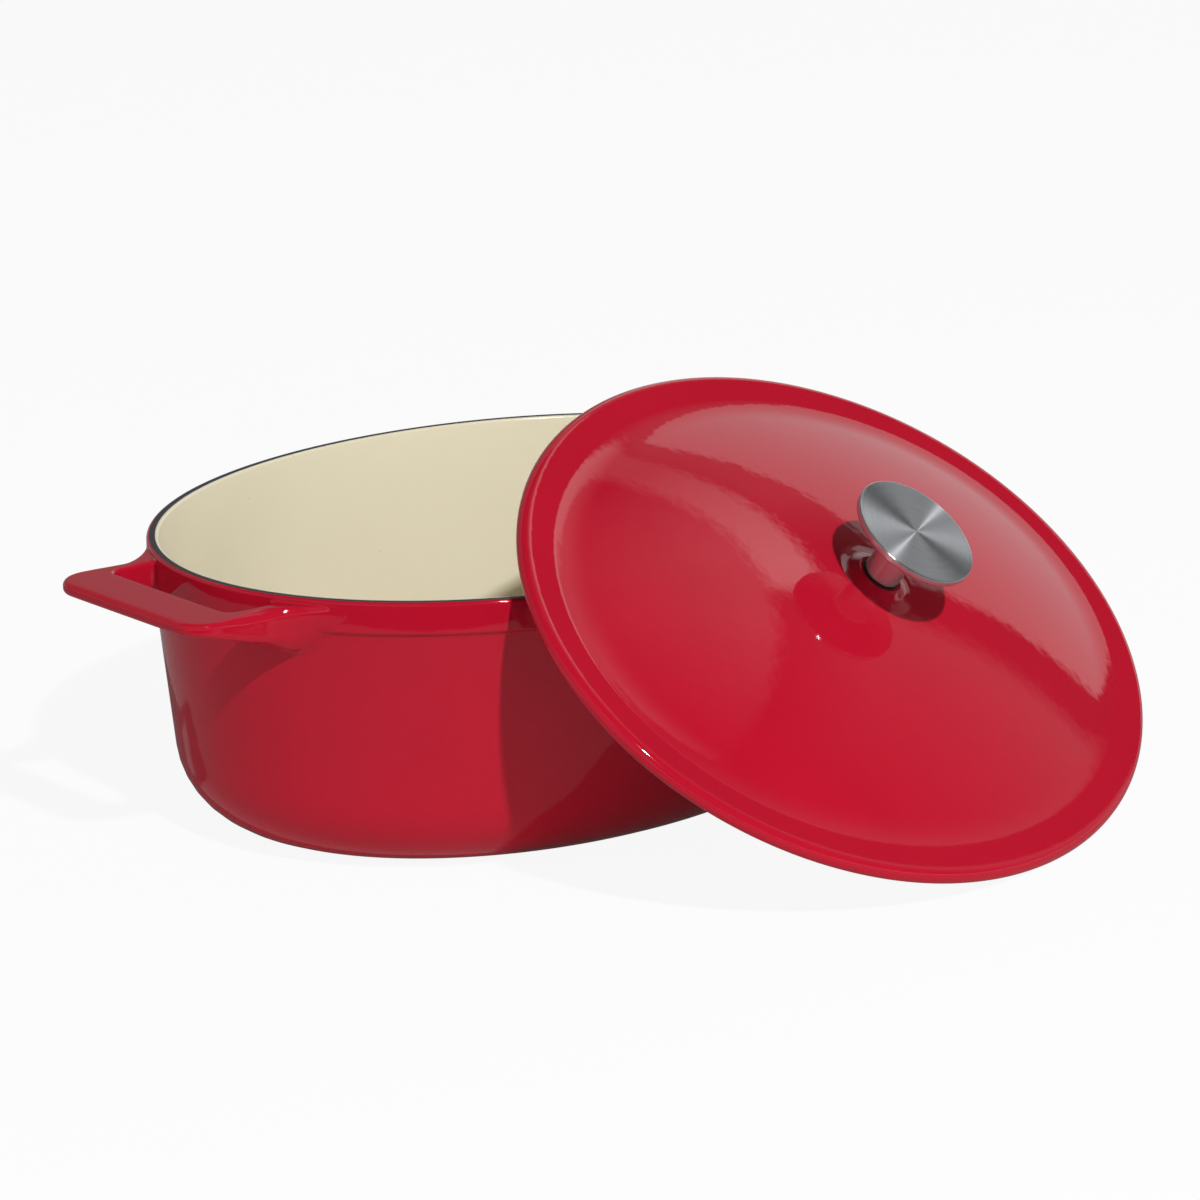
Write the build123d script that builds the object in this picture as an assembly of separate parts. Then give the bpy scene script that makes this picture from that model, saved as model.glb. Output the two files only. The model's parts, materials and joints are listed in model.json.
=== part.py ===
"""Oval enamelled cast iron dutch oven, with its lid leaning on the pot.

Millimetres, +Z up. The origin is the middle of the pot's base and +X runs along the handles.
The oval is a chain of tangent arcs. Every wall, coat and lip is one upright section, turned
about the centre of each arc, so that it keeps its thickness all the way round.
"""

import os
from collections import namedtuple
from math import atan2, cos, degrees, hypot, radians, sin, sqrt, tan

from build123d import *

# Pot
POT_LENGTH = 298.0          # over the collar, without the handles
POT_WIDTH = 230.0
POT_HEIGHT = 105.0          # table to the top of the rim
END_ANGLE = 26.0            # degrees from the long axis, where the oval's end arcs stop
SIDE_ANGLE = 61.0           # where its side arcs start, with shoulder arcs between
WALL = 4.2                  # iron and lining together
BASE_THICKNESS = 5.0
WALL_DRAFT = 6.0            # degrees, the pot is wider at the top
BASE_CORNER = 30.0          # outside radius between the base and the wall
COLLAR_HEIGHT = 12.6        # raised band below the rim
COLLAR_STEP = 1.4
RIM_CHAMFER = 0.6
RIM_BEAD = 1.3              # red outer edge of the rim, outside the black coat
RIM_COAT_HEIGHT = 1.4       # how far the black coat wraps down inside the mouth
ENAMEL = 0.4

# Handles, cast in one with the pot
HANDLE_REACH = 33.5         # grip's outer edge, out from the collar
HANDLE_WIDTH = 84.0
HANDLE_DROP = 2.2           # top face below the rim
HANDLE_EDGE = 4.4           # thickness at the grip's outer edge
HANDLE_ROOT = 18.4          # thickness at the pot's wall
HANDLE_CORNER = 11.0
HANDLE_ROUND = 2.0
FLARE_WIDTH = 118.0         # where the arms run out along the collar
FLARE_RADIUS = 36.0
SLOT_LENGTH = 70.0
SLOT_CORNER = 5.0
GRIP_WIDTH = 20.5           # bar outside the finger slot

# Lid, in its own frame: z = 0 is the face that sits on the rim
LID_OVERHANG = 1.5          # lip outside the pot's collar
LID_WALL = 4.2              # iron and lining together
LIP_HEIGHT = 5.6
LIP_WIDTH = 6.0
LIP_CHAMFER = 1.8
LIP_RAMP = 3.0              # slope from the lip down into the groove
GROOVE_DEPTH = 0.8          # shallow ring between the lip and the dome
GROOVE_WIDTH = 10.0
DOME_RISE = 20.8            # from the groove to the crown
RING_DEPTH = 4.5            # locating ring inside the pot's mouth
RING_WIDTH = 4.6
RING_CLEARANCE = 1.4
RING_CHAMFER = 0.5
SEAT_WIDTH = 4.2            # black seat outside the locating ring
BOSS_DIAMETER = 20.0
BOSS_HEIGHT = 2.4
SPOT_DIAMETER = 18.0        # flat face below the boss, for the washer
SPOT_HEIGHT = 0.8

# Knob and its fastener, on the lid's axis
KNOB_DIAMETER = 48.0
KNOB_HEIGHT = 22.9
DISC_EDGE = 2.6
DISC_CONE = 3.0             # the disc thickens towards the stem
DISC_CHAMFER = 0.8
STEM_DIAMETER = 14.0
STEM_CHAMFER = 0.3
TAPPED_DEPTH = 14.0
GASKET_THICKNESS = 0.6
GASKET_MARGIN = 0.5         # the seal shows this far outside the stem
THREAD_DIAMETER = 6.0
THREAD_CLEARANCE = 0.05     # radial, in the knob's tapped hole
SHANK_CLEARANCE = 0.3       # radial, in the lid, the seal and the washers
SCREW_LENGTH = 20.0
HEAD_DIAMETER = 12.0
HEAD_HEIGHT = 4.0
HEAD_CHAMFER = 1.4
RECESS_LENGTH = 6.0
RECESS_WIDTH = 1.3
RECESS_DEPTH = 2.0
WASHER_DIAMETER = 14.0
WASHER_THICKNESS = 1.2
SPRING_DIAMETER = 11.0
SPRING_THICKNESS = 1.6
SPRING_GAP = 0.9            # split in the spring washer

# How the lid leans: it stands on its edge in front of the pot and rests on the rim
LEAN_STANDOFF = 87.0        # foot of the lid in front of the collar
LEAN_SHIFT = 79.0           # foot of the lid towards +X
LEAN_AZIMUTH = -75.9        # degrees, the way the lid's face looks
LEAN_TURN = -5.4            # degrees, the lid's long axis turned in its own plane
LEAN_GAP = 0.3              # to the rim and to the table

Arc = namedtuple("Arc", "x y radius start sweep")
pot_half = POT_LENGTH / 2
narrower = (POT_LENGTH - POT_WIDTH) / 2


def oval_arcs():
    """The collar's outline as arcs, in order round the pot."""
    half_width = pot_half - narrower
    end_cos, end_sin = cos(radians(END_ANGLE)), sin(radians(END_ANGLE))
    side_cos, side_sin = cos(radians(SIDE_ANGLE)), sin(radians(SIDE_ANGLE))
    end = half_width ** 2 / pot_half

    # The shoulder and side radii are those that give the length and the width
    length_left = pot_half - end * (1 - end_cos)
    width_left = half_width - end * end_sin
    spread = (end_cos - side_cos) * (1 - side_sin) - side_cos * (side_sin - end_sin)
    shoulder = (length_left * (1 - side_sin) - width_left * side_cos) / spread
    side = (width_left * (end_cos - side_cos) - length_left * (side_sin - end_sin)) / spread

    end_x = pot_half - end
    shoulder_x = end_x + (end - shoulder) * end_cos
    shoulder_y = (end - shoulder) * end_sin
    side_y = half_width - side
    between = SIDE_ANGLE - END_ANGLE
    half_round = [
        Arc(end_x, 0, end, -END_ANGLE, 2 * END_ANGLE),
        Arc(shoulder_x, shoulder_y, shoulder, END_ANGLE, between),
        Arc(0, side_y, side, SIDE_ANGLE, 180 - 2 * SIDE_ANGLE),
        Arc(-shoulder_x, shoulder_y, shoulder, 180 - SIDE_ANGLE, between),
    ]
    return half_round + [Arc(-a.x, -a.y, a.radius, a.start + 180, a.sweep) for a in half_round]


outline = oval_arcs()
core = pot_half - outline[0].radius + WALL


def oval_point(reach, turn):
    """Point of the oval whose half length is reach, where it faces a turn in degrees."""
    for arc in outline:
        if (turn - arc.start) % 360 <= arc.sweep:
            radius = arc.radius + reach - pot_half
            return arc.x + radius * cos(radians(turn)), arc.y + radius * sin(radians(turn))


def prism(reach, low, high):
    """Upright oval block, reach from its middle to its end."""
    edges = [CenterArc((a.x, a.y), a.radius + reach - pot_half, a.start, a.sweep) for a in outline]
    return Pos(0, 0, low) * extrude(make_face([arc.edge() for arc in edges]), high - low)


def profile(points):
    """Face in the XZ plane from (reach, height, corner radius) points."""
    corners = [(x, 0, z) for x, z, _ in points]
    return make_face(FilletPolyline(*corners, radius=[r for _, _, r in points], close=True))


def ring(points):
    """Solid that has this section all the way round the oval."""
    sectors = []
    for arc in outline:
        section = profile([(x - pot_half + arc.radius, z, r) for x, z, r in points])
        sector = revolve(Rot(0, 0, arc.start) * section, Axis.Z, arc.sweep)
        sectors.append(Pos(arc.x, arc.y, 0) * sector)
    return Part() + sectors


def block(points):
    """The same with a solid middle, which the section's first and last points lie on."""
    low, high = points[0][1], points[-1][1]
    section = [(core, low, 0), *points[1:-1], (core, high, 0)]
    return ring(section) + prism(core, low, high)


def disc(radius, low, high):
    """Plain round cylinder on the Z axis between two heights."""
    return Pos(0, 0, low) * Cylinder(radius, high - low, align=(Align.CENTER, Align.CENTER, Align.MIN))


# Pot
taper = tan(radians(WALL_DRAFT))
collar_foot = POT_HEIGHT - COLLAR_HEIGHT
wall_top = pot_half - COLLAR_STEP
wall_foot = wall_top - collar_foot * taper
coat_foot = POT_HEIGHT - RIM_COAT_HEIGHT
iron_top = POT_HEIGHT - ENAMEL
mouth = wall_foot + POT_HEIGHT * taper - WALL


def lining_at(z):
    """Reach of the lining's face at a height."""
    return mouth - (POT_HEIGHT - z) * taper


def bowl():
    """Outside of the casting, stepped down inside the rim's bead for the black coat."""
    return block([
        (0, 0, 0),
        (wall_foot, 0, BASE_CORNER),
        (wall_top, collar_foot, 0),
        (pot_half, collar_foot + COLLAR_STEP, 0),
        (pot_half, POT_HEIGHT - RIM_CHAMFER, 0),
        (pot_half - RIM_CHAMFER, POT_HEIGHT, 0),
        (pot_half - RIM_BEAD, POT_HEIGHT, 0),
        (pot_half - RIM_BEAD, iron_top, 0),
        (0, iron_top, 0),
    ])


def cavity(coat, top):
    """Inside of the pot up to a height, moved out by a coat."""
    floor = BASE_THICKNESS - coat
    return block([
        (0, floor, 0),
        (lining_at(floor) + coat, floor, BASE_CORNER - WALL + coat),
        (lining_at(top) + coat, top, 0),
        (0, top, 0),
    ])


def rim_coat():
    """Black coat on top of the wall and just inside the mouth."""
    return ring([
        (pot_half - RIM_BEAD, iron_top, 0),
        (pot_half - RIM_BEAD, POT_HEIGHT, 0),
        (mouth + RIM_CHAMFER, POT_HEIGHT, 0),
        (lining_at(POT_HEIGHT - RIM_CHAMFER), POT_HEIGHT - RIM_CHAMFER, 0),
        (lining_at(coat_foot), coat_foot, 0),
        (lining_at(coat_foot) + ENAMEL, coat_foot, 0),
        (lining_at(iron_top) + ENAMEL, iron_top, 0),
    ])


def handle():
    """Loop handle at +X: flared arms, a grip bar and a finger slot, thicker towards the wall."""
    reach = pot_half + HANDLE_REACH
    top = POT_HEIGHT - HANDLE_DROP
    side = HANDLE_WIDTH / 2
    flare = FLARE_WIDTH / 2
    half_width = pot_half - narrower
    collar_at_flare = pot_half * sqrt(1 - (flare / half_width) ** 2)
    inside = collar_at_flare - WALL
    grip = reach - GRIP_WIDTH

    # Each arm leaves the collar along its tangent and bends straight where that crosses the arm's side
    knee = collar_at_flare + (flare - side) * flare * pot_half ** 2 / (collar_at_flare * half_width ** 2)
    plan = make_face(FilletPolyline(
        (inside, -flare), (collar_at_flare, -flare), (knee, -side), (reach, -side),
        (reach, side), (knee, side), (collar_at_flare, flare), (inside, flare),
        radius=[0, 0, FLARE_RADIUS, HANDLE_CORNER, HANDLE_CORNER, FLARE_RADIUS, 0, 0], close=True))
    slot = make_face(FilletPolyline(
        (inside - WALL, -SLOT_LENGTH / 2), (grip, -SLOT_LENGTH / 2),
        (grip, SLOT_LENGTH / 2), (inside - WALL, SLOT_LENGTH / 2),
        radius=[0, SLOT_CORNER, SLOT_CORNER, 0], close=True))
    loop = Pos(0, 0, top) * extrude(plan - slot, -HANDLE_ROOT)
    curve = (HANDLE_REACH ** 2 + (HANDLE_ROOT - HANDLE_EDGE) ** 2) / (2 * (HANDLE_ROOT - HANDLE_EDGE))
    under = Pos(reach, 0, top - HANDLE_EDGE - curve) * Rot(90, 0, 0) * Cylinder(curve, 2 * FLARE_WIDTH)
    loop -= under

    def is_long_edge(edge):
        start, middle, end = edge @ 0, edge @ 0.5, edge @ 1
        upright = abs((edge % 0.5).Z) > 0.9
        at_root = max(start.X, end.X) < inside + 0.01
        at_crease = abs(start.X - pot_half) + abs(end.X - pot_half) + abs(middle.X - pot_half) < 0.01
        return not (upright or at_root or at_crease)

    return fillet([edge for edge in loop.edges() if is_long_edge(edge)], HANDLE_ROUND)


right_handle = handle()
pot_casting = bowl() + right_handle + Rot(0, 0, 180) * right_handle - cavity(ENAMEL, POT_HEIGHT)
pot_inner_enamel = cavity(ENAMEL, coat_foot) - cavity(0, POT_HEIGHT)
pot_rim_enamel = rim_coat()

# Lid
lid_half = pot_half + LID_OVERHANG
lip_inner = lid_half - LIP_WIDTH
groove = LIP_HEIGHT - GROOVE_DEPTH
dome_foot = lip_inner - GROOVE_WIDTH
dome_along = (dome_foot ** 2 + DOME_RISE ** 2) / (2 * DOME_RISE)
dome_across = ((dome_foot - narrower) ** 2 + DOME_RISE ** 2) / (2 * DOME_RISE)
crown = groove + DOME_RISE
ring_outer = mouth - RING_CLEARANCE
ring_inner = ring_outer - RING_WIDTH
ring_foot = -RING_DEPTH
seat_outer = ring_outer + SEAT_WIDTH
boss_top = crown + BOSS_HEIGHT
spot = crown - LID_WALL - SPOT_HEIGHT
shank_hole = THREAD_DIAMETER / 2 + SHANK_CLEARANCE


def dome(sunk):
    """Everything below the dome's surface: an arc across the lid, swept along an arc over its length."""
    radius = dome_across - sunk
    middle = crown - dome_across
    half_width = lid_half - narrower
    edge_height = middle + sqrt(radius ** 2 - half_width ** 2)
    arc = ThreePointArc((0, -half_width, edge_height), (0, 0, middle + radius), (0, half_width, edge_height))
    sides = Polyline(arc @ 1, (0, half_width, -crown), (0, -half_width, -crown), arc @ 0)
    section = make_face([arc.edge(), *sides.edges()])
    pivot = Axis((0, 0, crown - dome_along), (0, 1, 0))
    turn = degrees(2 * lid_half / dome_along)
    return revolve(section.rotate(pivot, -turn), pivot, 2 * turn)


def lid_shell():
    """Lid above its seat: a lip with broken edges, a shallow groove and the dome."""
    plate = block([
        (0, 0, 0),
        (lid_half - LIP_CHAMFER, 0, 0),
        (lid_half, LIP_CHAMFER, 0),
        (lid_half, LIP_HEIGHT - LIP_CHAMFER, 0),
        (lid_half - LIP_CHAMFER, LIP_HEIGHT, 0),
        (lip_inner, LIP_HEIGHT, 0),
        (lip_inner - LIP_RAMP, groove, 0),
        (0, groove, 0),
    ])
    return plate + (dome(0) & prism(lip_inner - LIP_RAMP, 0, boss_top))


def hollow(coat, low):
    """Space below the dome and inside the locating ring, down to a height, moved out by a coat."""
    return dome(LID_WALL - coat) & prism(ring_inner + coat, low, boss_top)


below = ring_foot - LID_WALL
ring_core = prism(ring_outer - ENAMEL, ring_foot + ENAMEL, groove)
boss = disc(BOSS_DIAMETER / 2, spot, boss_top)
spot_pad = disc(SPOT_DIAMETER / 2, spot, crown)
bolt_hole = disc(shank_hole, below, boss_top + LID_WALL)
lid_casting = lid_shell() - prism(seat_outer, below, ENAMEL) + ring_core - hollow(ENAMEL, below)
lid_casting += (boss - hollow(ENAMEL, below)) + spot_pad
lid_casting -= bolt_hole
lid_inner_enamel = hollow(ENAMEL, ring_foot) - hollow(0, below) - disc(SPOT_DIAMETER / 2, below, boss_top)
lid_rim_enamel = ring([
    (ring_inner + ENAMEL, ring_foot, 0),
    (ring_outer - RING_CHAMFER, ring_foot, 0),
    (ring_outer, ring_foot + RING_CHAMFER, 0),
    (ring_outer, 0, 0),
    (seat_outer, 0, 0),
    (seat_outer, ENAMEL, 0),
    (ring_outer - ENAMEL, ENAMEL, 0),
    (ring_outer - ENAMEL, ring_foot + ENAMEL, 0),
    (ring_inner + ENAMEL, ring_foot + ENAMEL, 0),
])

# Knob, seal and fastener
stem = STEM_DIAMETER / 2
knob_foot = boss_top + GASKET_THICKNESS
knob_top = knob_foot + KNOB_HEIGHT
knob_edge = KNOB_DIAMETER / 2
disc_under = knob_top - DISC_EDGE
knob = revolve(profile([
    (0, knob_foot, 0),
    (stem - STEM_CHAMFER, knob_foot, 0),
    (stem, knob_foot + STEM_CHAMFER, 0),
    (stem, disc_under - DISC_CONE, 0),
    (knob_edge - DISC_CHAMFER, disc_under, 0),
    (knob_edge, disc_under + DISC_CHAMFER, 0),
    (knob_edge, knob_top - DISC_CHAMFER, 0),
    (knob_edge - DISC_CHAMFER, knob_top, 0),
    (0, knob_top, 0),
]), Axis.Z)
knob -= disc(THREAD_DIAMETER / 2 + THREAD_CLEARANCE, boss_top, knob_foot + TAPPED_DEPTH)
knob_gasket = disc(stem + GASKET_MARGIN, boss_top, knob_foot) - bolt_hole

washer_foot = spot - WASHER_THICKNESS
spring_foot = washer_foot - SPRING_THICKNESS
head_foot = spring_foot - HEAD_HEIGHT
knob_washer = disc(WASHER_DIAMETER / 2, washer_foot, spot) - bolt_hole
split = Pos(SPRING_DIAMETER / 2, 0, spring_foot) * Box(SPRING_DIAMETER, SPRING_GAP, 4 * SPRING_THICKNESS)
knob_spring_washer = disc(SPRING_DIAMETER / 2, spring_foot, washer_foot) - bolt_hole - split
knob_screw = revolve(profile([
    (0, head_foot, 0),
    (HEAD_DIAMETER / 2 - HEAD_CHAMFER, head_foot, 0),
    (HEAD_DIAMETER / 2, head_foot + HEAD_CHAMFER, 0),
    (HEAD_DIAMETER / 2, spring_foot, 0),
    (THREAD_DIAMETER / 2, spring_foot, 0),
    (THREAD_DIAMETER / 2, spring_foot + SCREW_LENGTH - STEM_CHAMFER, 0),
    (THREAD_DIAMETER / 2 - STEM_CHAMFER, spring_foot + SCREW_LENGTH, 0),
    (0, spring_foot + SCREW_LENGTH, 0),
]), Axis.Z)
recess = Pos(0, 0, head_foot) * Box(RECESS_LENGTH, RECESS_WIDTH, 2 * RECESS_DEPTH)
knob_screw -= recess + Rot(0, 0, 90) * recess


# Leaning pose: the lid's foot stays put and its slope rises until the rim is just clear
def lean_plane(tilt):
    """The lid's frame at a slope in degrees, when it stands on its lip at the chosen foot."""
    outward = Vector(0, 0, 1).rotate(Axis.Y, tilt).rotate(Axis.Z, LEAN_AZIMUTH)
    level = Vector(0, 0, 1).cross(outward).normalized()
    along = level.rotate(Axis((0, 0, 0), outward), LEAN_TURN)
    across = outward.cross(along)
    downhill = degrees(atan2(-across.Z, -along.Z))
    corners = []
    for reach, height in ((lid_half, LIP_CHAMFER), (lid_half - LIP_CHAMFER, 0)):
        x, y = oval_point(reach, downhill)
        corners.append(along * x + across * y + outward * height)
    lowest = min(corners, key=lambda corner: corner.Z)
    stand = Vector(LEAN_SHIFT, narrower - pot_half - LEAN_STANDOFF, LEAN_GAP)
    return Plane(origin=stand - lowest, x_dir=along, z_dir=outward)


def underside(x, y):
    """Height of the lid's underside above its seat, with the ring as wide as its chamfers."""
    oval_reach = hypot(x, y * ring_inner / (ring_inner - narrower))
    if oval_reach > ring_inner - ENAMEL:
        return ring_foot
    across = dome_along - dome_across + sqrt((dome_across - LID_WALL) ** 2 - y ** 2)
    return crown - dome_along + sqrt(across ** 2 - x ** 2)


def rim_clearance(tilt):
    """Least gap between the pot's rim and the lid's underside, along the lid's axis."""
    plane = lean_plane(tilt)
    least = POT_HEIGHT
    for reach, drop in ((pot_half, RIM_CHAMFER), (pot_half - RIM_CHAMFER, 0), (mouth + RIM_CHAMFER, 0)):
        for turn in range(360):
            seen = plane.to_local_coords(Vector(*oval_point(reach, turn), POT_HEIGHT - drop))
            if hypot(seen.X, seen.Y) < lid_half:
                least = min(least, underside(seen.X, seen.Y) - seen.Z)
    return least


low_tilt, high_tilt = 15.0, 75.0
while high_tilt - low_tilt > 0.0001:
    tilt = (low_tilt + high_tilt) / 2
    if rim_clearance(tilt) > LEAN_GAP:
        high_tilt = tilt
    else:
        low_tilt = tilt
lid_plane = lean_plane(high_tilt)
lean = lid_plane.location
print(f"lid slope {high_tilt:.3f} degrees")
for vector in (lid_plane.origin, lid_plane.z_dir, lid_plane.x_dir):
    print(f"lid origin, axis, length {vector.X:.6f} {vector.Y:.6f} {vector.Z:.6f}")

nodes = {
    "pot_casting": pot_casting,
    "pot_inner_enamel": pot_inner_enamel,
    "pot_rim_enamel": pot_rim_enamel,
    "lid_casting": lean * lid_casting,
    "lid_inner_enamel": lean * lid_inner_enamel,
    "lid_rim_enamel": lean * lid_rim_enamel,
    "knob_gasket": lean * knob_gasket,
    "knob": lean * knob,
    "knob_screw": lean * knob_screw,
    "knob_washer": lean * knob_washer,
    "knob_spring_washer": lean * knob_spring_washer,
}
os.makedirs("parts", exist_ok=True)
for name, solid in nodes.items():
    export_step(solid, f"parts/{name}.step")
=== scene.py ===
"""Oval enamelled dutch oven, dressed for a studio picture on its packed frame.

Metres, in the frame of the packed model. The lid leans on the pot, as in the photograph.
Ovals are true ellipses here, so that reflections run smoothly round the pot and the lid.
"""

import json
from math import pi, radians, sin, sqrt, tan

import bmesh
import bpy
import numpy as np
from bpy.props import FloatProperty, FloatVectorProperty, PointerProperty
from mathutils import Matrix, Vector


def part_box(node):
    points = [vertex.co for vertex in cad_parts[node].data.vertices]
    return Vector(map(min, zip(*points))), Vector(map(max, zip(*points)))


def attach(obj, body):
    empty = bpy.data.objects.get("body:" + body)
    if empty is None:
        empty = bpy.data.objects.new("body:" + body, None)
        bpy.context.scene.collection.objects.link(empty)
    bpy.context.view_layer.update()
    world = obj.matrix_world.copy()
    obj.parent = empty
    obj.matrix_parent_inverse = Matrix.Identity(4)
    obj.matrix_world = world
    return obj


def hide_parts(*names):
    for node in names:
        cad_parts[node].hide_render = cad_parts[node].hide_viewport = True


bl_info = {
    "name": "Oval dutch oven",
    "version": (1, 0, 0),
    "blender": (4, 5, 0),
    "location": "3D View > Sidebar > Dutch oven",
    "description": "Builds an oval enamelled dutch oven with its lid leaning on the rim",
    "category": "Add Mesh",
}

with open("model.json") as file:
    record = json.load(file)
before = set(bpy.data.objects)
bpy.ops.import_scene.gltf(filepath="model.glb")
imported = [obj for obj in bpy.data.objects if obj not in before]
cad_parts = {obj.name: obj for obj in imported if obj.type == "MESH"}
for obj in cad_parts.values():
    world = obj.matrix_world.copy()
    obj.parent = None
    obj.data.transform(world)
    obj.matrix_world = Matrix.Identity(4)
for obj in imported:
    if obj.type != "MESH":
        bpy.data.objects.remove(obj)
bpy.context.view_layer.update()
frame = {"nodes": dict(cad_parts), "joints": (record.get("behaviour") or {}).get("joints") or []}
pot_low, pot_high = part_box("pot_casting")
knob_joint = next(joint for joint in frame["joints"] if joint["name"] == "knob_turn")

TURNS = 320            # columns round an oval piece
KNOB_TURNS = 192       # columns round the knob
ARC_STEPS = 9          # segments in a rounded corner
FACE_CUTS = 6          # segments across a face of the handle
FLARE_POINTS = 25      # points where an arm of the handle bends off the collar
ARM_ROWS = 44          # rows along an arm
TURN_ROWS = 18         # rows round its outer corner
BAR_ROWS = 14          # rows along half of the grip bar
SKIRT_ROWS = 8         # rows in the fillet at an arm's root
LOOP_ROWS = 60         # rows from that fillet to the middle of the grip
MM = 0.001
ROUND_REACH = 14 * MM  # half length up to which a ring is a circle
OVAL_REACH = 90 * MM   # half length from which it is the full oval
ROOT_SINK = 12 * MM    # how far the handle's lines start inside the wall
HAIR = 0.1 * MM        # least gap, step or rounding
COAT_BACK = 0.35 * MM  # depth of a coat's back, just clear of the iron below


def linear(hex_colour):
    """Linear red, green, blue from an sRGB hex value."""
    parts = [int(hex_colour[i:i + 2], 16) / 255 for i in (1, 3, 5)]
    return tuple(c / 12.92 if c <= 0.04045 else ((c + 0.055) / 1.055) ** 2.4 for c in parts)


def length(name, description, default):
    """A size that the sidebar shows in the scene's length unit."""
    return FloatProperty(name=name, description=description, default=default, unit="LENGTH", precision=4)


def angle(name, description, degrees):
    """An angle that the sidebar shows in degrees."""
    return FloatProperty(name=name, description=description, default=radians(degrees), subtype="ANGLE")


def position(name, description, default):
    """A place that the sidebar shows in the scene's length unit."""
    return FloatVectorProperty(name=name, description=description, default=default, size=3, unit="LENGTH")


def colour(name, description, hex_colour):
    """A colour that the sidebar shows as a swatch."""
    return FloatVectorProperty(
        name=name, description=description, default=linear(hex_colour), subtype="COLOR", min=0, max=1)


class PotSizes(bpy.types.PropertyGroup):
    """Sizes of the pot's casting and its coats."""

    long: length("Length", "Over the collar, without the handles", 298 * MM)
    wide: length("Width", "Over the collar", pot_high.y - pot_low.y)
    high: length("Height", "Table to the top of the rim", pot_high.z)
    wall: length("Wall", "Iron and lining together", 4.2 * MM)
    base: length("Base", "Thickness of the floor", 5.0 * MM)
    draft: angle("Draft", "Lean of the wall", 6)
    corner: length("Base corner", "Outside radius between the base and the wall", 30 * MM)
    collar: length("Collar", "Height of the raised band below the rim", 12.6 * MM)
    step: length("Collar step", "How far the band stands out", 1.4 * MM)
    collar_foot: length("Collar foot", "Hollow corner below the band", 1.6 * MM)
    collar_edge: length("Collar edge", "Rounded lower edge of the band", 1.2 * MM)
    bead: length("Rim bead", "Red edge outside the black coat", 1.0 * MM)
    bead_round: length("Bead rounding", "Outer corner of the red edge", 1.2 * MM)
    coat: length("Coat", "Thickness of the enamel", 0.4 * MM)
    black: length("Black coat", "Width of the black coat on the rim", 2.2 * MM)
    mouth_round: length("Mouth rounding", "Cream edge inside the black coat", 1.0 * MM)


class HandleSizes(bpy.types.PropertyGroup):
    """Sizes of the two loop handles."""

    reach: length("Reach", "Grip's outer edge from the pot's middle", pot_high.x)
    wide: length("Width", "Across the arms", 84 * MM)
    drop: length("Drop", "Top face below the rim", 2.2 * MM)
    edge: length("Edge", "Thickness at the outer edge", 4.4 * MM)
    root: length("Root", "Thickness at the wall", 18.4 * MM)
    bend: length("Bend", "How far from the outer edge the underside turns straight", 15.2 * MM)
    fall: FloatProperty(name="Fall", description="Slope of the straight underside", default=0.363)
    corner: length("Corner", "Outer corner in plan", 11 * MM)
    rounding: length("Rounding", "Rounded edges round the slot", 1.6 * MM)
    fat_rounding: length("Arm rounding", "Rounded outer edges of the thick arms", 4 * MM)
    slot_long: length("Slot length", "Finger slot along the collar", 70 * MM)
    slot_corner: length("Slot corner", "Slot's outer corners", 5 * MM)
    grip: length("Grip", "Bar outside the slot", 20.5 * MM)
    flare: length("Flare", "Half width where the arms run out on the collar", 57 * MM)
    outer_fillet: length("Outer fillet", "Arm's outer side to the wall", 3.0 * MM)
    slot_fillet: length("Slot fillet", "Arm's slot side to the wall", 3.5 * MM)
    top_fillet: length("Top fillet", "Arm's top to the wall", 0.9 * MM)
    low_fillet: length("Lower fillet", "Arm's underside to the wall", 3.0 * MM)


class LidSizes(bpy.types.PropertyGroup):
    """Sizes of the lid in its own frame, where height 0 is the seat on the rim."""

    overhang: length("Overhang", "Lip outside the collar", 1.5 * MM)
    wall: length("Wall", "Iron and lining together", 4.2 * MM)
    lip_high: length("Lip height", "Seat to the top of the lip", 5.6 * MM)
    lip_wide: length("Lip width", "Lip inside its outer edge", 6.0 * MM)
    lip_ramp: length("Lip ramp", "Slope from the lip into the groove", 5 * MM)
    lip_soft: length("Lip softness", "Radius where the ramp starts and ends", 36 * MM)
    lip_edge: length("Lip edge", "Rounded upper edge of the lip", 3.4 * MM)
    lip_heel: length("Lip heel", "Rounded lower edge of the lip", 2.1 * MM)
    groove: length("Groove", "Depth of the shallow ring inside the lip", 0.1 * MM)
    groove_wide: length("Groove width", "From the lip to the dome", 12.2 * MM)
    rise: length("Rise", "Groove to the crown", 20.1 * MM)
    dome_soft: length("Dome softness", "Height over which the dome runs out on the groove", 2.2 * MM)
    ring_deep: length("Ring depth", "Locating ring below the seat", 4.5 * MM)
    ring_wide: length("Ring width", "Thickness of the locating ring", 4.6 * MM)
    ring_inner: length("Ring inner edge", "Rounded inner edge", 0.3 * MM)
    ring_outer: length("Ring outer edge", "Rounded outer edge", 0.6 * MM)
    ring_root: length("Ring root", "Hollow corner between the ring and the seat", 0.4 * MM)
    ring_gap: length("Ring gap", "From the locating ring to the pot's mouth", 1.4 * MM)
    seat: length("Seat", "Black band outside the locating ring", 4.2 * MM)
    boss: length("Boss", "Radius of the pad below the knob", 10 * MM)
    boss_high: length("Boss height", "Pad above the crown", 2.4 * MM)
    spot: length("Spot face", "Radius of the flat under the washer", 9 * MM)
    spot_deep: length("Spot depth", "Flat under the washer below the hollow's top", 0.8 * MM)
    hole: length("Hole", "Radius of the screw's hole", 3.3 * MM)
    along: FloatVectorProperty(
        name="Long axis", description="Direction of the lid's length", subtype="DIRECTION", size=3,
        default=(0.983413, 0.171488, -0.059079))


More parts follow.
